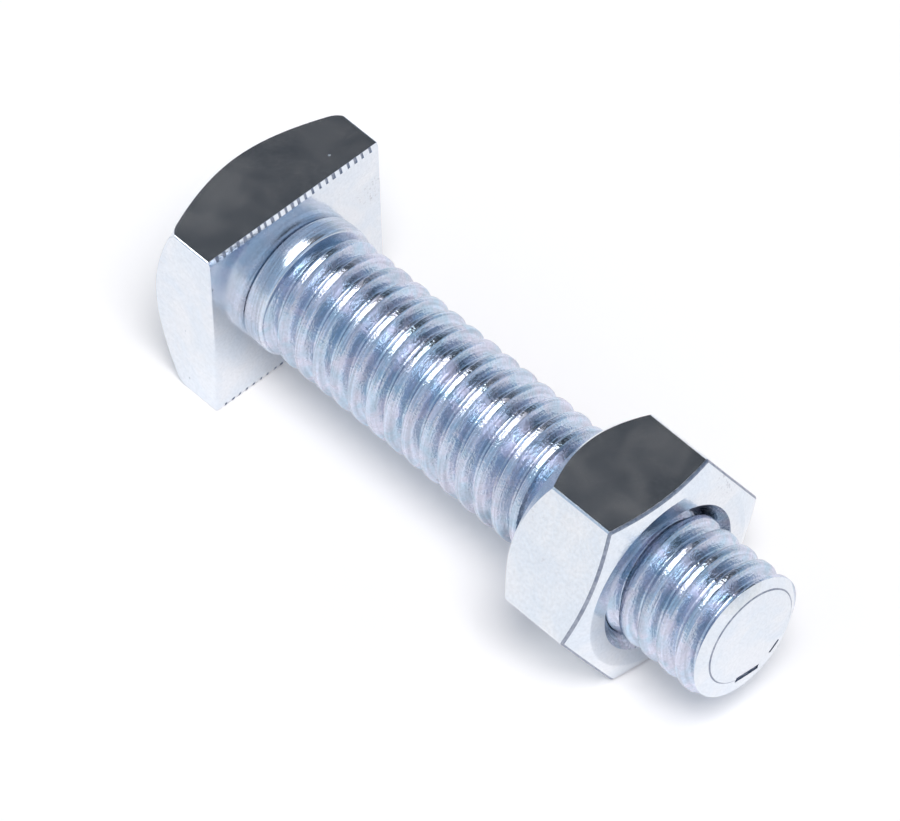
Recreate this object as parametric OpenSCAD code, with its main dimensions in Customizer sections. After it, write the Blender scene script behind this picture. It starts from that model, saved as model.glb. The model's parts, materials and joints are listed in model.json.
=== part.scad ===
// Battery terminal bolt: a square-head bolt with a hexagon nut run most of the way down it.
//
// The axis lies along +X, from the head to the pointed end. The origin is the centre of the
// head's bearing face, on the axis. +Z is up, and the set lies on one flat of the head and
// one flat of the nut, which are as wide as each other.
//
// The thread's ridges are rings, one pitch apart, with the true depth, flanks and crests of
// the thread. They stand in for the one helical ridge, and the nut's bore is plain.

/* [Thread] */
// Diameter over the crests
thread_d = 7.9; // [6:0.05:8.6]
// Distance from one crest to the next
thread_pitch = 1.411; // [1:0.001:1.8]

/* [Shank] */
// Length from the head's bearing face to the end
shank_length = 35.2; // [30:0.1:60]
// Shortest plain collar between the bearing face and the first groove
collar_length = 1.2; // [0.8:0.1:5]
// Radius of the fillet between the bearing face and the collar
collar_fillet = 0.4; // [0.2:0.05:0.6]
// Length of the pointed end's chamfer, along the axis
point_length = 0.85; // [0.3:0.05:1.5]
// Depth of the pointed end's chamfer, across the axis
point_depth = 0.8; // [0.3:0.05:1.5]

/* [Square head] */
// Width across the flats
head_flats = 12.5; // [11:0.1:19]
// Height of the head, from its bearing face to its crown
head_height = 4.8; // [4:0.1:9]
// How far the crown's flat circle stays inside the flats
head_crown_inset = 0.25; // [0.1:0.05:0.6]
// Slope of the crown's chamfer, from the crown's flat
head_crown_slope = 32; // [20:1:36]
// How much is turned off each corner
head_corner_ease = 0.2; // [0.05:0.05:0.5]

/* [Hexagon nut] */
// Length of bolt left showing past the nut
nut_to_end = 6.15; // [0:0.05:12]
// Width across the flats
nut_flats = 12.5; // [12:0.1:19]
// Thickness of the nut
nut_thickness = 6.1; // [5:0.1:9]
// Running clearance between the crests and the nut's bore, on the radius
nut_clearance = 0.05; // [0.02:0.01:0.1]
// Width and depth of the countersinks at both ends of the bore
nut_countersink = 0.65; // [0.3:0.05:0.8]
// How far the inner face's flat circle stays inside the flats
nut_inner_inset = 0.15; // [0.1:0.05:0.3]
// Slope of the chamfer around the inner face
nut_inner_slope = 46; // [30:1:50]
// How far the outer face's flat circle stays inside the flats
nut_outer_inset = 0.55; // [0.2:0.05:0.6]
// Slope of the chamfer around the outer face
nut_outer_slope = 22; // [15:1:30]
// How much is turned off each corner
nut_corner_ease = 0.1; // [0.05:0.05:0.3]

/* [Hidden] */

$fn = 120;
nut_sides = 6;

// How far a cut runs past the face that it opens.
overcut = 0.1;

// The unified thread: flanks at 60 degrees to each other, and the crest's and root's flats
// as shares of the sharp V, whose height is cos(flank_angle) of the pitch.
flank_angle = 30;
crest_share = 1 / 8;
root_share = 1 / 6;
thread_r = thread_d / 2;
sharp_height = cos(flank_angle) * thread_pitch;
thread_depth = (1 - crest_share - root_share) * sharp_height;
root_r = thread_r - thread_depth;
crest_flat = crest_share * thread_pitch;
flank_run = thread_depth * tan(flank_angle);
root_flat = thread_pitch - crest_flat - 2 * flank_run;

// The last crest ends where the pointed end begins, and the collar takes what is left over.
threaded_end = shank_length - point_length;
turns = floor((threaded_end - collar_length) / thread_pitch);
thread_start = threaded_end - turns * thread_pitch;

// The shank is rooted inside the head, so that the two are one solid.
shank_root = head_height / 2;

// Clear length between the head and the nut.
grip_length = shank_length - nut_to_end - nut_thickness;

head_corner_r = head_flats / sqrt(2) - head_corner_ease;
nut_point_r = nut_flats / 2 / cos(180 / nut_sides);
nut_corner_r = nut_point_r - nut_corner_ease;
nut_bore_r = thread_r + nut_clearance;
nut_mouth_r = nut_bore_r + nut_countersink;

// Turns an outline of [radius, distance along the axis] points about the X axis.
module turned(outline) {
    rotate([0, 90, 0]) rotate_extrude() polygon(outline);
}

// The four corners of the groove that starts at this distance along the axis.
function groove(start) = [
    [thread_r, start],
    [root_r, start + flank_run],
    [root_r, start + flank_run + root_flat],
    [thread_r, start + 2 * flank_run + root_flat]
];

module shank_section() {
    polygon(concat(
        [[0, -shank_root], [thread_r, -shank_root]],
        [for (turn = [0 : turns - 1]) each groove(thread_start + turn * thread_pitch)],
        [[thread_r, threaded_end], [thread_r - point_depth, shank_length], [0, shank_length]]
    ));
    difference() {
        translate([0, -shank_root])
            square([thread_r + collar_fillet, shank_root + collar_fillet]);
        translate([thread_r + collar_fillet, collar_fillet]) circle(collar_fillet);
    }
}

// A square bar's end, turned down to a flat crown with a chamfer around it.
module square_head() {
    crown_r = head_flats / 2 - head_crown_inset;
    chamfer_length = (head_corner_r - crown_r) * tan(head_crown_slope);
    intersection() {
        translate([-head_height, -head_flats / 2, -head_flats / 2])
            cube([head_height, head_flats, head_flats]);
        turned([
            [0, -head_height],
            [crown_r, -head_height],
            [head_corner_r, chamfer_length - head_height],
            [head_corner_r, 0],
            [0, 0]
        ]);
    }
}

module square_head_bolt() {
    color("lightsteelblue") {
        square_head();
        rotate([0, 90, 0]) rotate_extrude() shank_section();
    }
}

// A six-sided bar along +X, with flats up and down.
module hexagon_bar() {
    rotate([0, 90, 0]) rotate([0, 0, 180 / nut_sides])
        cylinder(h = nut_thickness, r = nut_point_r, $fn = nut_sides);
}

// The bar's blank: a flat circle on each face, and a chamfer from it out over the corners.
module nut_blank() {
    inner_r = nut_flats / 2 - nut_inner_inset;
    outer_r = nut_flats / 2 - nut_outer_inset;
    turned([
        [0, 0],
        [inner_r, 0],
        [nut_corner_r, (nut_corner_r - inner_r) * tan(nut_inner_slope)],
        [nut_corner_r, nut_thickness - (nut_corner_r - outer_r) * tan(nut_outer_slope)],
        [outer_r, nut_thickness],
        [0, nut_thickness]
    ]);
}

module countersunk_bore() {
    turned([
        [0, -overcut],
        [nut_mouth_r + overcut, -overcut],
        [nut_bore_r, nut_countersink],
        [nut_bore_r, nut_thickness - nut_countersink],
        [nut_mouth_r + overcut, nut_thickness + overcut],
        [0, nut_thickness + overcut]
    ]);
}

module hex_nut() {
    color("silver") translate([grip_length, 0, 0]) difference() {
        intersection() {
            hexagon_bar();
            nut_blank();
        }
        countersunk_bore();
    }
}

square_head_bolt();
hex_nut();
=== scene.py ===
import json
import math
import random

import bmesh
import bpy
from mathutils import Matrix, Vector


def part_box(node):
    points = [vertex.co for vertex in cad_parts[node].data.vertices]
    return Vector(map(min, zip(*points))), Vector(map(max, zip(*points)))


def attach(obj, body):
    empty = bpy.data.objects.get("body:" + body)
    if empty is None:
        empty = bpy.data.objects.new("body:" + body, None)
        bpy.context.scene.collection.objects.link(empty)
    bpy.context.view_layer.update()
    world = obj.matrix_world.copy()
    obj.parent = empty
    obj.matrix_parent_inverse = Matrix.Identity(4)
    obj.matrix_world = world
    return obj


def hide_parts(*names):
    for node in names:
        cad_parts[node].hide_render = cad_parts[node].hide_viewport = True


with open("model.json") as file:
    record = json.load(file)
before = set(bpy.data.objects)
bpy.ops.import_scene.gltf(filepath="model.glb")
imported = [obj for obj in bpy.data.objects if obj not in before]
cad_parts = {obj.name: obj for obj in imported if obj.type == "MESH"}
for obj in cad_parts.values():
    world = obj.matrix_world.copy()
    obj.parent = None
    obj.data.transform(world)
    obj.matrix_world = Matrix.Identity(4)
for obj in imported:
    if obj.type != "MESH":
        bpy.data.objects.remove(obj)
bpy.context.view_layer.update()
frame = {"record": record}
mm = 0.001

# The frame gives the sizes: the bolt's and the nut's boxes, and the shank's radius.
boltLow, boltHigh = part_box("square_head_bolt")
nutLow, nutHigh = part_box("hex_nut")
mounts = {mount["name"]: mount for mount in frame["record"]["mounts"]}
crestRadius = mounts["shank"]["dims"]["r_mm"] * mm
floorHeight = boltLow.z

weldGap = 0.001 * mm            # points closer than this are one point
turnSteps = 96                  # around a turned piece
smoothAngle = 18                # sharper edges than this stay crisp
plainSlot, wornShadeSlot = 0, 1      # a piece's places for its flats' finish and for the darker edge finish, whose dark tone is painted shade on worn edges
print("frame loaded")


# Selecting and applying, as by hand

def deselectAll():
    if bpy.context.object and bpy.context.object.mode != "OBJECT":
        bpy.ops.object.mode_set(mode="OBJECT")
    bpy.ops.object.select_all(action="DESELECT")


def pick(piece):
    deselectAll()
    piece.select_set(True)
    bpy.context.view_layer.objects.active = piece


def applyModifier(piece, kind, **values):
    pick(piece)
    modifier = piece.modifiers.new(kind.title(), kind)
    for name, value in values.items():
        setattr(modifier, name, value)
    bpy.ops.object.modifier_apply(modifier=modifier.name)


def cutWith(piece, tool, operation):
    applyModifier(
        piece, "BOOLEAN", object=tool, operation=operation, solver="EXACT", material_mode="TRANSFER"
    )
    bpy.data.objects.remove(tool)


def selectInMesh(piece, kind, test):
    # selects the vertices, edges or faces that pass the test, in edit mode
    bpy.ops.mesh.select_mode(type=kind)
    bpy.ops.mesh.select_all(action="DESELECT")
    mesh = bmesh.from_edit_mesh(piece.data)
    for element in {"VERT": mesh.verts, "EDGE": mesh.edges, "FACE": mesh.faces}[kind]:
        if test(element):
            element.select_set(True)
    mesh.select_flush_mode()
    bmesh.update_edit_mesh(piece.data)


def smoothPiece(piece):
    # smooth shading with crisp edges; the large flats keep their own normals
    pick(piece)
    bpy.ops.object.shade_smooth_by_angle(angle=math.radians(smoothAngle))
    applyModifier(piece, "WEIGHTED_NORMAL", mode="FACE_AREA", weight=100, keep_sharp=True)


def dress(piece, *finishes):
    piece.data.materials.clear()
    for finish in finishes:
        piece.data.materials.append(finish)


def paintFaces(piece, index, test):
    # gives the chosen faces another of the piece's finishes
    mesh = bmesh.new()
    mesh.from_mesh(piece.data)
    for face in mesh.faces:
        if test(face):
            face.material_index = index
    mesh.to_mesh(piece.data)
    mesh.free()


def drawOutline(name, points):
    # a chain of edges drawn from one vertex, each point given as (distance along X, radius)
    deselectAll()
    bpy.ops.mesh.primitive_plane_add(size=mm)
    piece = bpy.context.object
    piece.name = name
    bpy.ops.object.mode_set(mode="EDIT")
    bpy.ops.mesh.select_mode(type="VERT")
    bpy.ops.mesh.select_all(action="SELECT")
    bpy.ops.mesh.merge(type="CENTER")
    bpy.ops.transform.translate(value=(points[0][0], 0, points[0][1]))
    for start, end in zip(points, points[1:]):
        step = (end[0] - start[0], 0, end[1] - start[1])
        bpy.ops.mesh.extrude_region_move(TRANSFORM_OT_translate={"value": step})
    bpy.ops.object.mode_set(mode="OBJECT")
    return piece


def tidyMesh(piece):
    # merges doubles, dissolves slivers and turns all faces outwards
    pick(piece)
    bpy.ops.object.mode_set(mode="EDIT")
    bpy.ops.mesh.select_all(action="SELECT")
    bpy.ops.mesh.remove_doubles(threshold=weldGap)
    bpy.ops.mesh.dissolve_degenerate(threshold=weldGap)
    bpy.ops.mesh.normals_make_consistent(inside=False)
    bpy.ops.object.mode_set(mode="OBJECT")


def turnPiece(name, points, steps=turnSteps):
    # a solid turned about X from an outline that starts and ends on the axis
    piece = drawOutline(name, points)
    pick(piece)
    bpy.ops.object.mode_set(mode="EDIT")
    bpy.ops.mesh.select_all(action="SELECT")
    bpy.ops.mesh.spin(steps=steps, angle=math.tau, center=(0, 0, 0), axis=(1, 0, 0))
    bpy.ops.object.mode_set(mode="OBJECT")
    tidyMesh(piece)
    return piece


def arc(centre, radius, start, end, count):
    # points on an arc in (along X, radius), angles in degrees from +X
    angles = [math.radians(start + (end - start) * i / count) for i in range(count + 1)]
    return [(centre[0] + radius * math.cos(a), centre[1] + radius * math.sin(a)) for a in angles]


# Effects that the finishes share

def newGroup(name, inputs, outputs):
    group = bpy.data.node_groups.new(name, "ShaderNodeTree")
    for label, kind, value in inputs:
        socket = group.interface.new_socket(name=label, in_out="INPUT", socket_type=kind)
        socket.default_value = value
    for label, kind in outputs:
        group.interface.new_socket(name=label, in_out="OUTPUT", socket_type=kind)
    return group, group.nodes.new("NodeGroupInput"), group.nodes.new("NodeGroupOutput")


def addNode(tree, kind, inputs={}, **values):
    # a node with its settings; an input is a number or the output that feeds it
    node = tree.nodes.new(kind)
    for name, value in values.items():
        setattr(node, name, value)
    for name, value in inputs.items():
        if isinstance(value, bpy.types.NodeSocket):
            tree.links.new(value, node.inputs[name])
        else:
            node.inputs[name].default_value = value
    return node


def addMath(tree, operation, first, second):
    return addNode(tree, "ShaderNodeMath", {0: first, 1: second}, operation=operation).outputs[0]


def addRange(tree, value, low, high, toLow=0.0, toHigh=1.0, **values):
    node = addNode(tree, "ShaderNodeMapRange", {
        "Value": value, "From Min": low, "From Max": high, "To Min": toLow, "To Max": toHigh,
    }, **values)
    return node.outputs["Result"]


def addMix(tree, factor, first, second, blend="MIX"):
    node = addNode(tree, "ShaderNodeMix", data_type="RGBA", blend_type=blend)
    for socket, value in ((node.inputs[0], factor), (node.inputs[6], first), (node.inputs[7], second)):
        if isinstance(value, bpy.types.NodeSocket):
            tree.links.new(value, socket)
        else:
            socket.default_value = value
    return node.outputs[2]


def makePlatingTone():
    # clouded zinc: bluish and warmer patches, darkened a little by a fine grain
    patchRange = (0.35, 0.65)
    grainRange, grainShade = (0.3, 0.7), (0.55, 1.1)
    group, given, result = newGroup("platingTone", [
        ("Cloud Scale", "NodeSocketFloat", 500.0),
        ("Grain Scale", "NodeSocketFloat", 6000.0),
        ("Grain Amount", "NodeSocketFloat", 0.3),
        ("Cool", "NodeSocketColor", (0.7, 0.8, 0.9, 1)),
        ("Warm", "NodeSocketColor", (0.8, 0.8, 0.9, 1)),
    ], [("Color", "NodeSocketColor"), ("Cloud", "NodeSocketFloat"), ("Grain", "NodeSocketFloat")])
    place = addNode(group, "ShaderNodeTexCoord").outputs["Object"]
    cloud = addNode(group, "ShaderNodeTexNoise", {
        "Vector": place, "Scale": given.outputs["Cloud Scale"], "Detail": 3.0, "Distortion": 0.6,
    }).outputs["Fac"]
    grain = addNode(group, "ShaderNodeTexNoise", {
        "Vector": place, "Scale": given.outputs["Grain Scale"], "Detail": 2.0,
    }).outputs["Fac"]
    patches = addRange(group, cloud, *patchRange)
    tone = addMix(group, patches, given.outputs["Cool"], given.outputs["Warm"])
    shade = addRange(group, grain, *grainRange, *grainShade)
    color = addMix(group, given.outputs["Grain Amount"], tone, shade, "MULTIPLY")
    group.links.new(color, result.inputs["Color"])
    group.links.new(patches, result.inputs["Cloud"])
    group.links.new(grain, result.inputs["Grain"])
    return group


def makeHandlingPits():
    # small irregular pits, in a share of the cells of a scattered pattern
    wobbleScale, wobbleReach = 4000.0, 0.25 * mm
    smallest = 0.4             # as a share of the largest
    flatBottom = 0.6           # as a share of the pit's width, inside its sloping rim
    group, given, result = newGroup("handlingPits", [
        ("Spacing Scale", "NodeSocketFloat", 800.0),
        ("Size", "NodeSocketFloat", 0.2),
        ("Share", "NodeSocketFloat", 0.3),
    ], [("Mask", "NodeSocketFloat"), ("Height", "NodeSocketFloat")])
    place = addNode(group, "ShaderNodeTexCoord").outputs["Object"]
    wobble = addNode(group, "ShaderNodeTexNoise", {"Vector": place, "Scale": wobbleScale, "Detail": 2.0})
    push = addNode(group, "ShaderNodeVectorMath", {0: wobble.outputs["Color"]}, operation="SCALE")
    push.inputs["Scale"].default_value = wobbleReach
    moved = addNode(group, "ShaderNodeVectorMath", {0: place, 1: push.outputs[0]}, operation="ADD")
    cells = addNode(group, "ShaderNodeTexVoronoi", {
        "Vector": moved.outputs[0], "Scale": given.outputs["Spacing Scale"],
    })
    split = addNode(group, "ShaderNodeSeparateColor", {"Color": cells.outputs["Color"]})
    chosen = addMath(group, "LESS_THAN", split.outputs["Red"], given.outputs["Share"])
    size = addRange(group, split.outputs["Green"], 0, 1, smallest, 1)
    reach = addMath(group, "MULTIPLY", given.outputs["Size"], size)
    fromMiddle = addMath(group, "DIVIDE", cells.outputs["Distance"], reach)
    inside = addRange(group, fromMiddle, 1.0, flatBottom)
    mask = addMath(group, "MULTIPLY", inside, chosen)
    group.links.new(mask, result.inputs["Mask"])
    group.links.new(addMath(group, "MULTIPLY", mask, -1.0), result.inputs["Height"])
    return group


def makeScuffs():
    # speckled rubs that gather in patches
    patchFade = 0.08
    speckRange = (0.55, 0.68)
    group, given, result = newGroup("scuffs", [
        ("Patch Scale", "NodeSocketFloat", 250.0),
        ("Speck Scale", "NodeSocketFloat", 5000.0),
        ("Share", "NodeSocketFloat", 0.35),
    ], [("Mask", "NodeSocketFloat")])
    place = addNode(group, "ShaderNodeTexCoord").outputs["Object"]
    patch = addNode(group, "ShaderNodeTexNoise", {
        "Vector": place, "Scale": given.outputs["Patch Scale"], "Detail": 1.0,
    })
    speck = addNode(group, "ShaderNodeTexNoise", {
        "Vector": place, "Scale": given.outputs["Speck Scale"], "Detail": 1.0,
    })
    edge = addMath(group, "SUBTRACT", 1.0, given.outputs["Share"])
    near = addRange(group, addMath(group, "SUBTRACT", patch.outputs["Fac"], edge), 0.0, patchFade)
    specks = addRange(group, speck.outputs["Fac"], *speckRange)
    group.links.new(addMath(group, "MULTIPLY", near, specks), result.inputs["Mask"])
    return group


def makeRollingLines():
    # fine lines left by thread rolling, which climb with the helix; the seam lies underneath
    lineRange = (0.35, 0.65)
    group, given, result = newGroup("rollingLines", [
        ("Lead", "NodeSocketFloat", 1.4 * mm),
        ("Line Scale", "NodeSocketFloat", 9000.0),
        ("Along Scale", "NodeSocketFloat", 350.0),
    ], [("Height", "NodeSocketFloat"), ("Mask", "NodeSocketFloat")])
    place = addNode(group, "ShaderNodeTexCoord").outputs["Object"]
    split = addNode(group, "ShaderNodeSeparateXYZ", {0: place})
    turn = addMath(group, "ARCTAN2", split.outputs["Y"], split.outputs["Z"])
    climb = addMath(group, "MULTIPLY", addMath(group, "DIVIDE", turn, math.tau), given.outputs["Lead"])
    along = addMath(group, "ADD", split.outputs["X"], climb)
    across = addMath(group, "MULTIPLY", along, given.outputs["Line Scale"])
    roundY = addMath(group, "MULTIPLY", split.outputs["Y"], given.outputs["Along Scale"])
    roundZ = addMath(group, "MULTIPLY", split.outputs["Z"], given.outputs["Along Scale"])
    spot = addNode(group, "ShaderNodeCombineXYZ", {"X": across, "Y": roundY, "Z": roundZ})
    lines = addNode(group, "ShaderNodeTexNoise", {
        "Vector": spot.outputs[0], "Scale": 1.0, "Detail": 2.0,
    })
    group.links.new(lines.outputs["Fac"], result.inputs["Height"])
    group.links.new(addRange(group, lines.outputs["Fac"], *lineRange), result.inputs["Mask"])
    return group


platingTone = makePlatingTone()
handlingPits = makeHandlingPits()
scuffs = makeScuffs()
rollingLines = makeRollingLines()


# The thread's sizes come first, because the rolling lines of the finish climb with it

thread = {
    "pitch": 1.411 * mm,
    "flankAngle": 33,
    "depth": 0.66 * mm,
    "crestWidth": 0.40 * mm,       # between the flanks, before the rounding
    "crestRounding": 0.15 * mm,
    "rootRounding": 0.10 * mm,
    "crestAt": 1.03 * mm,          # where a crest crosses the upper side
    "stepsPerTurn": 72,
    "spareTurns": 2,               # at each end of the shank, before its ends are cut
}


# Finishes: zinc plating as it lies on the flats, the worn edges (darkened as painted shade), the
# rolled thread and the turned collar (lightened as a painted sheen); a bump is a strength and a depth

flatFinish = {
    "tone": {
        "Cloud Scale": 420.0, "Grain Scale": 5200.0, "Grain Amount": 0.16,
        "Cool": (0.77, 0.82, 0.88, 1), "Warm": (0.84, 0.86, 0.89, 1),
    },
    "pits": {"Spacing Scale": 900.0, "Size": 0.10, "Share": 0.12},
    "scuffs": {"Patch Scale": 260.0, "Speck Scale": 5200.0, "Share": 0.36},
    "pitTone": (0.30, 0.33, 0.38, 1),
    "scuffTone": (0.62, 0.63, 0.66, 1),
    "roughness": (0.13, 0.16),     # where it is cool, and where it is warm
    "wornRoughness": 0.32,
    "grainBump": (0.2, 0.01 * mm),
    "pitBump": (0.8, 0.05 * mm),
}
# darker than the flats: painted shade laid on rounded edges, score pockets, the end rim and dents, on
# top of their real rougher wear
edgeShadeFinish = {
    "tone": {
        "Cloud Scale": 2600.0, "Grain Scale": 9000.0, "Grain Amount": 0.5,
        "Cool": (0.27, 0.30, 0.38, 1), "Warm": (0.48, 0.50, 0.57, 1),
    },
    "roughness": (0.36, 0.52),
    "grainBump": (0.5, 0.02 * mm),
}
threadFinish = {
    "tone": {
        "Cloud Scale": 900.0, "Grain Scale": 7000.0, "Grain Amount": 0.3,
        "Cool": (0.56, 0.70, 0.84, 1), "Warm": (0.78, 0.78, 0.91, 1),
    },
    "lines": {"Line Scale": 8000.0, "Along Scale": 320.0},
    "lineShade": 0.25,
    "roughness": (0.16, 0.30),
    "grainBump": (0.7, 0.035 * mm),
    "lineBump": (1.0, 0.03 * mm),
}
# lighter than the thread's tone: a painted sheen on the collar; its gentler bumps are the turned
# surface's own
turnedSheenFinish = {
    "tone": {
        "Cloud Scale": 900.0, "Grain Scale": 7000.0, "Grain Amount": 0.3,
        "Cool": (0.68, 0.79, 0.91, 1), "Warm": (0.82, 0.84, 0.94, 1),
    },
    "lines": {"Line Scale": 8000.0, "Along Scale": 320.0},
    "lineShade": 0.25,
    "roughness": (0.18, 0.28),
    "grainBump": (0.175, 0.035 * mm),
    "lineBump": (0.25, 0.03 * mm),
}


def addGroup(tree, group, inputs):
    node = addNode(tree, "ShaderNodeGroup", node_tree=group)
    for name, value in inputs.items():
        node.inputs[name].default_value = value
    return node


def startZinc(name):
    material = bpy.data.materials.new(name)
    material.use_nodes = True
    tree = material.node_tree
    shader = tree.nodes["Principled BSDF"]
    shader.inputs["Metallic"].default_value = 1.0
    return material, tree, shader


def addBump(tree, height, bump, below=None):
    strength, depth = bump
    node = addNode(tree, "ShaderNodeBump", {"Height": height, "Strength": strength, "Distance": depth})
    if below is not None:
        tree.links.new(below, node.inputs["Normal"])
    return node.outputs["Normal"]


def makeFlatFinish(name, finish):
    material, tree, shader = startZinc(name)
    tone = addGroup(tree, platingTone, finish["tone"])
    pits = addGroup(tree, handlingPits, finish["pits"])
    rubs = addGroup(tree, scuffs, finish["scuffs"])
    color = addMix(tree, rubs.outputs["Mask"], tone.outputs["Color"], finish["scuffTone"])
    color = addMix(tree, pits.outputs["Mask"], color, finish["pitTone"])
    tree.links.new(color, shader.inputs["Base Color"])
    rough = addRange(tree, tone.outputs["Cloud"], 0, 1, *finish["roughness"])
    worn = addMath(tree, "MAXIMUM", rubs.outputs["Mask"], pits.outputs["Mask"])
    wornRough = addMath(tree, "MULTIPLY", worn, finish["wornRoughness"])
    tree.links.new(addMath(tree, "MAXIMUM", rough, wornRough), shader.inputs["Roughness"])
    grain = addBump(tree, tone.outputs["Grain"], finish["grainBump"])
    relief = addBump(tree, pits.outputs["Height"], finish["pitBump"], grain)
    tree.links.new(relief, shader.inputs["Normal"])
    return material


def makeEdgeFinish(name, finish):
    material, tree, shader = startZinc(name)
    tone = addGroup(tree, platingTone, finish["tone"])
    tree.links.new(tone.outputs["Color"], shader.inputs["Base Color"])
    rough = addRange(tree, tone.outputs["Cloud"], 0, 1, *finish["roughness"])
    tree.links.new(rough, shader.inputs["Roughness"])
    relief = addBump(tree, tone.outputs["Grain"], finish["grainBump"])
    tree.links.new(relief, shader.inputs["Normal"])
    return material


def makeRoundFinish(name, finish):
    material, tree, shader = startZinc(name)
    tone = addGroup(tree, platingTone, finish["tone"])
    lines = addGroup(tree, rollingLines, {"Lead": thread["pitch"], **finish["lines"]})
    color = addMix(
        tree, finish["lineShade"], tone.outputs["Color"], lines.outputs["Mask"], "MULTIPLY"
    )
    tree.links.new(color, shader.inputs["Base Color"])
    rough = addRange(tree, tone.outputs["Cloud"], 0, 1, *finish["roughness"])
    tree.links.new(rough, shader.inputs["Roughness"])
    grain = addBump(tree, tone.outputs["Grain"], finish["grainBump"])
    relief = addBump(tree, lines.outputs["Height"], finish["lineBump"], grain)
    tree.links.new(relief, shader.inputs["Normal"])
    return material


flatZinc = makeFlatFinish("zincFlats", flatFinish)
edgeShadeZinc = makeEdgeFinish("zincEdgesShaded", edgeShadeFinish)
threadZinc = makeRoundFinish("zincThread", threadFinish)
turnedSheenZinc = makeRoundFinish("zincTurnedSheen", turnedSheenFinish)
print("finishes made")


# The thread's shape: one tooth drawn as an outline, then swept along its helix

def toothOutline(tipRadius, depth):
    # from the middle of one crest to the middle of the next, as (along X, radius)
    pitch, flank = thread["pitch"], thread["flankAngle"]
    crestRounding, rootRounding = thread["crestRounding"], thread["rootRounding"]
    halfCrest = thread["crestWidth"] / 2
    flankEnd = halfCrest + depth * math.tan(math.radians(flank))
    reach = math.tan(math.radians((90 - flank) / 2))
    crestCentre = (halfCrest - crestRounding * reach, tipRadius - crestRounding)
    rootCentre = (flankEnd + rootRounding * reach, tipRadius - depth + rootRounding)
    half = [(0, tipRadius)]
    half += arc(crestCentre, crestRounding, 90, flank, count=6)
    half += arc(rootCentre, rootRounding, 180 + flank, 270, count=4)
    half += [(pitch / 2, tipRadius - depth)]
    return half + [(pitch - x, radius) for x, radius in reversed(half[:-1])]


def threadBar(name, tipRadius, depth, start, turns):
    # a closed helical bar, whose crest crosses the +Z side at start and at every pitch from it
    pitch = thread["pitch"]
    piece = drawOutline(name, [(start + x, radius) for x, radius in toothOutline(tipRadius, depth)])
    applyModifier(
        piece, "SCREW", axis="X", angle=math.tau, screw_offset=pitch, iterations=turns,
        steps=thread["stepsPerTurn"], render_steps=thread["stepsPerTurn"], use_smooth_shade=False,
    )
    pick(piece)
    bpy.ops.object.mode_set(mode="EDIT")
    bpy.ops.mesh.select_all(action="SELECT")
    bpy.ops.mesh.remove_doubles(threshold=weldGap)
    middle = start + turns * pitch / 2
    for side in (-1, 1):
        selectInMesh(piece, "EDGE", lambda e: e.is_boundary and (e.verts[0].co.x - middle) * side > 0)
        bpy.ops.mesh.edge_face_add()
        bpy.ops.mesh.poke()
    bpy.ops.mesh.select_all(action="SELECT")
    bpy.ops.mesh.normals_make_consistent(inside=False)
    bpy.ops.object.mode_set(mode="OBJECT")
    dress(piece, threadZinc)
    return piece


# The bolt: a square head with a chamfered crown, a round-shouldered collar and the threaded shank

bolt = {
    "crownInset": 0.25 * mm,
    "crownSlope": 32,
    "crownSteps": 128,             # around the crown's blank
    "cornerRounding": 1.0 * mm,
    "sideRounding": 0.1 * mm,
    "sideSegments": 6,
    "edgeRounding": 0.07 * mm,
    "edgeSegments": 5,
    "edgeLimit": 50,               # only edges sharper than this are rounded and given the darker edge finish, a painted shade line
    "shearBevel": 0.12 * mm,
    "shearDrop": 0.22 * mm,        # how much lower the sheared edges reach on the bearing face
    "scoreSpacing": (0.44 * mm, 0.58 * mm),
    "scoreWidth": (0.16 * mm, 0.24 * mm),
    "scoreDepth": 0.06 * mm,
    "scoreSeed": 11,
    "collarRadius": 4.15 * mm,
    "collarCrown": 0.015 * mm,
    "collarShoulders": (0.34 * mm, 0.18 * mm),
    "collarEnd": 1.5 * mm,
    "pointLength": 0.27 * mm,
    "pointDepth": 0.89 * mm,
    "pointTilt": 2.5,              # the chamfer is longer on the upper side
    "endShift": (0, 0.15 * mm, 0.40 * mm),    # how far the end face lies off the axis
    "rimWidth": 0.09 * mm,         # of the darkened ring around the end face, a painted shade line
    "rimDepth": 0.05 * mm,
    "dents": (                     # across the end face, as start and end in (Y, Z) and the width
        ((-0.95 * mm, -2.42 * mm), (0.75 * mm, -2.68 * mm), 0.42 * mm),
        ((1.55 * mm, -2.22 * mm), (2.22 * mm, -1.70 * mm), 0.26 * mm),
    ),
    "dentDepth": 0.16 * mm,
}


def crownOutline(height, half):
    # the crown's flat, its cone, and the rounding that carries the cone into the corners
    slope = math.radians(bolt["crownSlope"])
    crown = half - bolt["crownInset"]
    corner = half * math.sqrt(2)
    radius = bolt["cornerRounding"]
    turn = (radius + (corner - radius - crown) * math.sin(slope)) / math.cos(slope)
    outside = mm                   # how far the blank runs past the head
    top = -height - outside
    return (
        [(top, 0), (top, crown - outside / math.tan(slope)), (-height, crown)]
        + arc((turn - height, corner - radius), radius, 180 - bolt["crownSlope"], 90, count=7)
        + [(outside, corner), (outside, 0)]
    )


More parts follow.
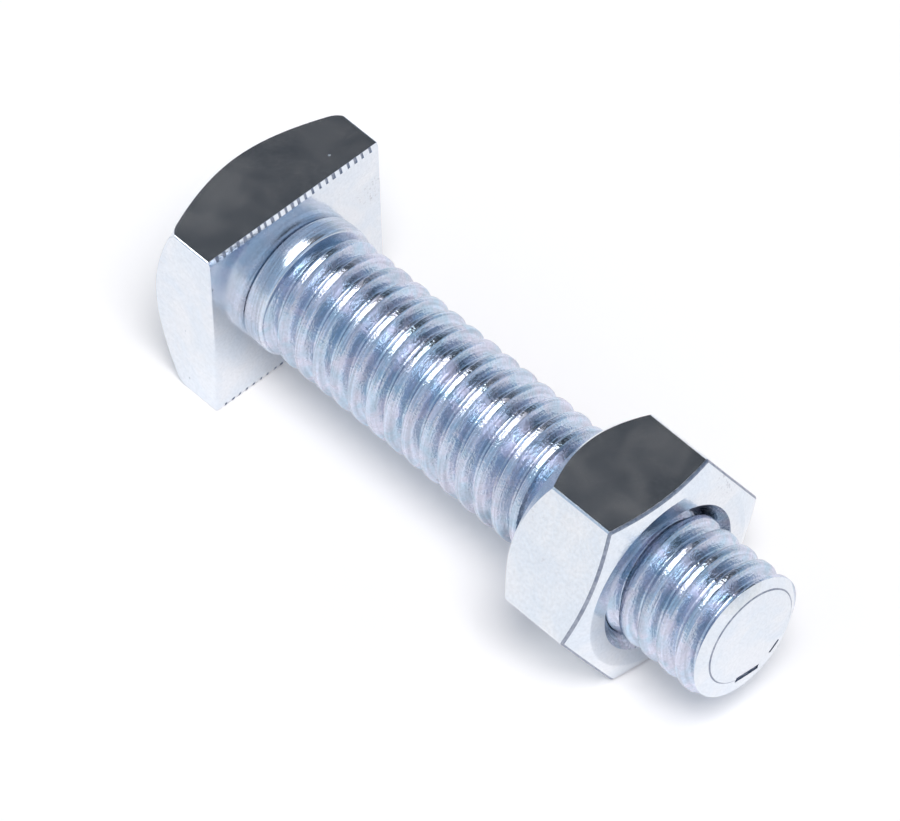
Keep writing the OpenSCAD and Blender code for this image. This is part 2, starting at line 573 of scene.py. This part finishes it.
def scoreEdge(head, half, side, chance):
    # short scores across a sheared edge, unevenly spaced
    def onStrip(face):
        # the sheared strip slopes, between the bearing face and the flat on this side
        return face.normal.x > 0.8 and face.normal.z * side > 0.2 and abs(face.normal.y) < 0.05

    scores = []
    along = -half + bolt["scoreSpacing"][1]
    while along < half - bolt["scoreSpacing"][1]:
        scores.append((along, along + chance.uniform(*bolt["scoreWidth"])))
        along += chance.uniform(*bolt["scoreSpacing"])
    pick(head)
    head.active_material_index = wornShadeSlot
    bpy.ops.object.mode_set(mode="EDIT")
    for place in (edge for score in scores for edge in score):
        selectInMesh(head, "FACE", onStrip)
        bpy.ops.mesh.bisect(plane_co=(0, place, 0), plane_no=(0, 1, 0))
    selectInMesh(
        head, "FACE",
        lambda f: onStrip(f) and any(low < f.calc_center_median().y < high for low, high in scores),
    )
    # the scores' walls slope
    bpy.ops.mesh.inset(thickness=bolt["scoreDepth"] / 3, depth=-bolt["scoreDepth"])
    bpy.ops.object.material_slot_assign()
    # the score pockets take the darker edge finish: painted shade in the gaps between the bright dashes
    bpy.ops.object.mode_set(mode="OBJECT")


def makeHead():
    height = -boltLow.x
    half = boltHigh.z
    near = 0.01 * mm               # what counts as level with a face, or as one point
    deselectAll()
    bpy.ops.mesh.primitive_cube_add(size=1, location=(-height / 2, 0, 0))
    head = bpy.context.object
    head.name = "squareHead"
    head.scale = (height, 2 * half, 2 * half)
    bpy.ops.object.transform_apply(location=True, rotation=True, scale=True)
    dress(head, flatZinc, edgeShadeZinc)
    bpy.ops.object.mode_set(mode="EDIT")
    # the bearing face's upper and lower edges are sheared
    selectInMesh(
        head, "EDGE",
        lambda e: all(v.co.x > -near for v in e.verts) and abs(e.verts[0].co.y - e.verts[1].co.y) > half,
    )
    bpy.ops.mesh.bevel(offset=bolt["shearBevel"], segments=1, affect="EDGES", material=plainSlot)
    lowered = half - bolt["shearBevel"]
    selectInMesh(head, "VERT", lambda v: v.co.x > -near and abs(v.co.z) < lowered + near)
    bpy.ops.transform.resize(value=(1, 1, 1 - bolt["shearDrop"] / lowered), center_override=(0, 0, 0))
    # its four long edges and the bearing face's side edges are rounded
    selectInMesh(
        head, "EDGE",
        lambda e: abs(e.verts[0].co.y - e.verts[1].co.y) < near
        and any(v.co.x > -height + near for v in e.verts),
    )
    bpy.ops.mesh.bevel(
        offset=bolt["sideRounding"], segments=bolt["sideSegments"], affect="EDGES", material=plainSlot
    )
    bpy.ops.object.mode_set(mode="OBJECT")
    blank = turnPiece("headBlank", crownOutline(height, half), bolt["crownSteps"])
    dress(blank, flatZinc)
    cutWith(head, blank, "INTERSECT")
    tidyMesh(head)
    # the sharp edges' rounding takes the darker edge finish: a painted shade line, such as the one above
    # the sheared dashes
    applyModifier(
        head, "BEVEL", width=bolt["edgeRounding"], segments=bolt["edgeSegments"], limit_method="ANGLE",
        angle_limit=math.radians(bolt["edgeLimit"]), harden_normals=False, material=wornShadeSlot,
    )
    chance = random.Random(bolt["scoreSeed"])
    for side in (-1, 1):
        scoreEdge(head, half, side, chance)
    return head


def collarOutline():
    # a barrel with rounded shoulders; it starts inside the head and ends at the first groove
    top, end, crown = bolt["collarRadius"], bolt["collarEnd"], bolt["collarCrown"]
    first, last = bolt["collarShoulders"]
    root, start = -2 * mm, -0.02 * mm
    past, below = 0.1 * mm, 0.05 * mm          # its end lies inside the first groove
    halfBarrel = (end - start - first - last) / 2
    barrel = (halfBarrel**2 + crown**2) / (2 * crown)
    lean = math.degrees(math.asin(halfBarrel / barrel))
    return (
        [(root, 0), (root, top - first)]
        + arc((start + first, top - crown - first), first, 180, 90 + lean, count=6)
        + arc((start + first + halfBarrel, top - barrel), barrel, 90 + lean, 90 - lean, count=8)[1:-1]
        + arc((end - last, top - crown - last), last, 90 - lean, 0, count=6)
        + [(end + past, crestRadius - thread["depth"] - below), (end + past, 0)]
    )


def makeDent(start, end, width):
    # a short bar, let halfway into the end face
    along = Vector(end) - Vector(start)
    middle = (Vector(start) + Vector(end)) / 2
    deselectAll()
    bpy.ops.mesh.primitive_cube_add(
        size=1, location=(boltHigh.x, *middle), rotation=(math.atan2(along.y, along.x), 0, 0)
    )
    dent = bpy.context.object
    dent.scale = (2 * bolt["dentDepth"], along.length, width)
    bpy.ops.object.transform_apply(location=True, rotation=True, scale=True)
    # the dent's walls take the darker edge finish: painted shade in the dark dashes on the end
    dress(dent, edgeShadeZinc)
    return dent


def makePoint():
    # what the shank is cut down to: a tilted cone, a rim darkened as painted shade, and the end face off
    # the axis
    length = boltHigh.x
    start = -mm                                # inside the head
    wide = crestRadius + 0.3 * mm              # clear of the crests
    endRadius = crestRadius - bolt["pointDepth"]
    endFace = endRadius - bolt["rimWidth"]
    slope = bolt["pointLength"] / bolt["pointDepth"]
    rimAt = length - bolt["rimDepth"]
    near = 0.1 * bolt["rimDepth"]              # what counts as level with a ring
    point = turnPiece("pointBlank", [
        (start, 0), (start, wide), (rimAt - (wide - endRadius) * slope, wide),
        (rimAt, endRadius), (length, endFace), (length, 0),
    ])
    pick(point)
    bpy.ops.object.mode_set(mode="EDIT")
    selectInMesh(point, "VERT", lambda v: v.co.x > rimAt - near)
    bpy.ops.transform.translate(value=bolt["endShift"])
    selectInMesh(point, "VERT", lambda v: 0 < v.co.x < rimAt - near)
    bpy.ops.transform.rotate(
        value=math.radians(bolt["pointTilt"]), orient_axis="Y", center_override=(rimAt, 0, 0)
    )
    bpy.ops.object.mode_set(mode="OBJECT")
    dress(point, flatZinc, edgeShadeZinc)
    # the rim takes the darker edge finish: a painted shade line around the end face
    paintFaces(point, wornShadeSlot, lambda f: rimAt < f.calc_center_median().x < length - near)
    return point


def makeShank():
    pitch, spare = thread["pitch"], thread["spareTurns"]
    turns = math.ceil(boltHigh.x / pitch) + 2 * spare
    shank = threadBar("shank", crestRadius, thread["depth"], thread["crestAt"] - spare * pitch, turns)
    cutWith(shank, makePoint(), "INTERSECT")
    for dent in bolt["dents"]:
        cutWith(shank, makeDent(*dent), "DIFFERENCE")
    collar = turnPiece("collar", collarOutline())
    # the collar's lighter zinc is a painted sheen
    dress(collar, turnedSheenZinc)
    cutWith(shank, collar, "UNION")
    return shank


boltPiece = makeHead()
print("head modelled", len(boltPiece.data.polygons))
shankPiece = makeShank()
print("shank modelled", len(shankPiece.data.polygons))
cutWith(boltPiece, shankPiece, "UNION")
boltPiece.name = "squareHeadBolt"
tidyMesh(boltPiece)
smoothPiece(boltPiece)
print("bolt modelled", len(boltPiece.data.polygons))


# The nut: a hexagonal bar's slice, chamfered on both faces, bored, countersunk and threaded

nut = {
    "sides": 6,
    "innerInset": 0.15 * mm,
    "innerSlope": 46,
    "outerInset": 0.55 * mm,
    "outerSlope": 22,
    "cornerEase": 0.04 * mm,
    "edgeRounding": 0.13 * mm,
    "edgeSegments": 4,
    "edgeLimit": 53,               # only the outer face's edges are as sharp as this
    "mouthRadius": 4.65 * mm,
    "boreClearance": 0.05 * mm,
    "threadDepth": 0.55 * mm,
    "threadInset": 0.8,            # how deep in the countersinks its ends lie, as a share of them
}


def nutOutline(low, high, half, point):
    # the faces' flat circles, and the two chamfers that run from them out over the corners
    corner = point - nut["cornerEase"]
    inner = half - nut["innerInset"]
    outer = half - nut["outerInset"]
    innerRise = math.tan(math.radians(nut["innerSlope"]))
    outerRise = math.tan(math.radians(nut["outerSlope"]))
    outside = mm                   # how far the chamfers run past the faces, across the axis
    return [
        (low - outside * innerRise, 0),
        (low - outside * innerRise, inner - outside),
        (low + (corner - inner) * innerRise, corner),
        (high - (corner - outer) * outerRise, corner),
        (high + outside * outerRise, outer - outside),
        (high + outside * outerRise, 0),
    ]


def makeBoreTool(low, high):
    # the bore, its countersinks and the thread between them, as one solid to cut with
    bore = crestRadius + nut["boreClearance"]
    mouth = nut["mouthRadius"]
    sink = mouth - bore
    reach = 0.3 * mm               # past the faces
    overlap = 0.02 * mm            # of the thread with the bore
    tool = turnPiece("boreTool", [
        (low - reach, 0), (low - reach, mouth + reach), (low + sink, bore),
        (high - sink, bore), (high + reach, mouth + reach), (high + reach, 0),
    ])
    dress(tool, threadZinc)
    # the thread starts and ends inside the countersinks, in step with the bolt's
    pitch, crestAt = thread["pitch"], thread["crestAt"]
    inset = sink * nut["threadInset"]
    first = crestAt + math.ceil((low + inset - crestAt) / pitch) * pitch
    turns = math.floor((high - inset - first) / pitch) - 1
    teeth = threadBar(
        "threadTool", bore + nut["threadDepth"], nut["threadDepth"] + overlap, first, turns
    )
    cutWith(tool, teeth, "UNION")
    return tool


def makeNut():
    low, high, half = nutLow.x, nutHigh.x, nutHigh.z
    point = half / math.cos(math.radians(180 / nut["sides"]))
    deselectAll()
    bpy.ops.mesh.primitive_cylinder_add(
        vertices=nut["sides"], radius=point, depth=high - low,
        location=((low + high) / 2, 0, 0), rotation=(0, math.pi / 2, 0),
    )
    piece = bpy.context.object
    piece.name = "hexNut"
    bpy.ops.object.transform_apply(location=True, rotation=True, scale=True)
    dress(piece, flatZinc, edgeShadeZinc)
    blank = turnPiece("nutBlank", nutOutline(low, high, half, point))
    dress(blank, flatZinc)
    cutWith(piece, blank, "INTERSECT")
    tidyMesh(piece)
    # the outer face's sharp edges take the darker edge finish: painted shade lines
    applyModifier(
        piece, "BEVEL", width=nut["edgeRounding"], segments=nut["edgeSegments"], limit_method="ANGLE",
        angle_limit=math.radians(nut["edgeLimit"]), harden_normals=False, material=wornShadeSlot,
    )
    cutWith(piece, makeBoreTool(low, high), "DIFFERENCE")
    tidyMesh(piece)
    smoothPiece(piece)
    return piece


nutPiece = makeNut()
print("nut modelled", len(nutPiece.data.polygons))

for piece, node, body, slot in (
    (boltPiece, "square_head_bolt", "bolt", "zinc_bolt"),
    (nutPiece, "hex_nut", "nut", "zinc_nut"),
):
    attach(piece, body)
    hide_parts(node)
print("pieces placed")


# Stage: white floor, soft light and the camera

stage = {
    "azimuth": 48.371,
    "elevation": 50.375,
    "roll": -1.94,
    "distance": 500 * mm,
    "lens": 371.8,
    "aim": (15 * mm, 0, 0),
    "shiftRight": -1.963 * mm,
    "shiftUp": 1.085 * mm,
    "floorSize": 4,
    "floorTone": (0.97, 0.915, 0.875, 1),
    "floorRoughness": 0.9,
    "floorGlow": 0.10,
    "glowTone": (1.0, 0.98, 1.0, 1),
    "roomSide": (0.48, 0.59, 0.73, 1),
    "roomHorizon": (0.97, 0.97, 0.98, 1),
    "roomDark": (0.048, 0.053, 0.062, 1),
    "sideRise": (0.04, 0.32),      # between these heights the horizon's tone turns into the side's
    "darkToward": (-0.36, 0.25, 0.90),
    "darkReach": (0.70, 0.90),     # how nearly that way the dark begins, and is full
    "softBox": {"size": (1.55, 1.55), "power": 78.0, "place": (1.3, -0.675, 3.0)},
    "shineStrip": {"size": (0.95, 0.40), "power": 7.8, "place": (-0.51, -0.05, 1.23)},
}


def makeFloor():
    deselectAll()
    bpy.ops.mesh.primitive_plane_add(size=stage["floorSize"], location=(0, 0, floorHeight))
    floor = bpy.context.object
    floor.name = "floor"
    material = bpy.data.materials.new("floorWhite")
    material.use_nodes = True
    tree = material.node_tree
    shader = tree.nodes["Principled BSDF"]
    shader.inputs["Base Color"].default_value = stage["floorTone"]
    shader.inputs["Roughness"].default_value = stage["floorRoughness"]
    shader.inputs["Specular IOR Level"].default_value = 0.0
    # the floor's glow is only seen, straight or mirrored, and lights nothing
    path = addNode(tree, "ShaderNodeLightPath").outputs
    seen = addMath(tree, "MAXIMUM", path["Is Camera Ray"], path["Is Glossy Ray"])
    seen = addMath(tree, "MAXIMUM", seen, path["Is Transmission Ray"])
    glow = addMath(tree, "MULTIPLY", seen, stage["floorGlow"])
    shader.inputs["Emission Color"].default_value = stage["glowTone"]
    tree.links.new(glow, shader.inputs["Emission Strength"])
    dress(floor, material)


def addLamp(name):
    values = stage[name]
    data = bpy.data.lights.new(name, "AREA")
    data.shape = "RECTANGLE"
    data.size, data.size_y = values["size"]
    data.energy = values["power"]
    lamp = bpy.data.objects.new(name, data)
    bpy.context.scene.collection.objects.link(lamp)
    lamp.location = values["place"]
    toward = Vector(stage["aim"]) - Vector(values["place"])
    lamp.rotation_euler = toward.to_track_quat("-Z", "Y").to_euler()
    return lamp


def setWorld():
    # a room that is pale at the horizon, bluish grey above and dark on one side
    world = bpy.data.worlds.new("studio")
    bpy.context.scene.world = world
    world.use_nodes = True
    tree = world.node_tree
    toward = addNode(tree, "ShaderNodeTexCoord").outputs["Generated"]
    height = addNode(tree, "ShaderNodeSeparateXYZ", {0: toward}).outputs["Z"]
    rise = addRange(tree, height, *stage["sideRise"], interpolation_type="SMOOTHSTEP")
    tone = addMix(tree, rise, stage["roomHorizon"], stage["roomSide"])
    side = addNode(
        tree, "ShaderNodeVectorMath", {0: toward, 1: stage["darkToward"]}, operation="DOT_PRODUCT"
    )
    dark = addRange(
        tree, side.outputs["Value"], *stage["darkReach"], interpolation_type="SMOOTHSTEP"
    )
    tone = addMix(tree, dark, tone, stage["roomDark"])
    background = tree.nodes["Background"]
    tree.links.new(tone, background.inputs["Color"])
    background.inputs["Strength"].default_value = 1.0


def setCamera():
    azimuth, elevation, roll = (math.radians(stage[k]) for k in ("azimuth", "elevation", "roll"))
    back = Vector((
        math.sin(azimuth) * math.cos(elevation),
        -math.cos(azimuth) * math.cos(elevation),
        math.sin(elevation),
    ))
    right = (-back).cross(Vector((0, 0, 1))).normalized()
    up = right.cross(-back)
    rolledRight = math.cos(roll) * right + math.sin(roll) * up
    rolledUp = math.cos(roll) * up - math.sin(roll) * right
    aim = Vector(stage["aim"]) + stage["shiftRight"] * rolledRight + stage["shiftUp"] * rolledUp
    data = bpy.data.cameras.new("camera")
    data.lens = stage["lens"]
    camera = bpy.data.objects.new("camera", data)
    bpy.context.scene.collection.objects.link(camera)
    turn = Matrix((rolledRight, rolledUp, back)).transposed().to_4x4()
    camera.matrix_world = Matrix.Translation(aim + back * stage["distance"]) @ turn
    bpy.context.scene.camera = camera


makeFloor()
# the large lamp lights only what is matt, the floor, and the small one only what shines
softBox = addLamp("softBox")
softBox.visible_glossy = False
shineStrip = addLamp("shineStrip")
shineStrip.visible_diffuse = False
setWorld()
setCamera()
bpy.context.scene.view_settings.view_transform = "Standard"
print("stage set")
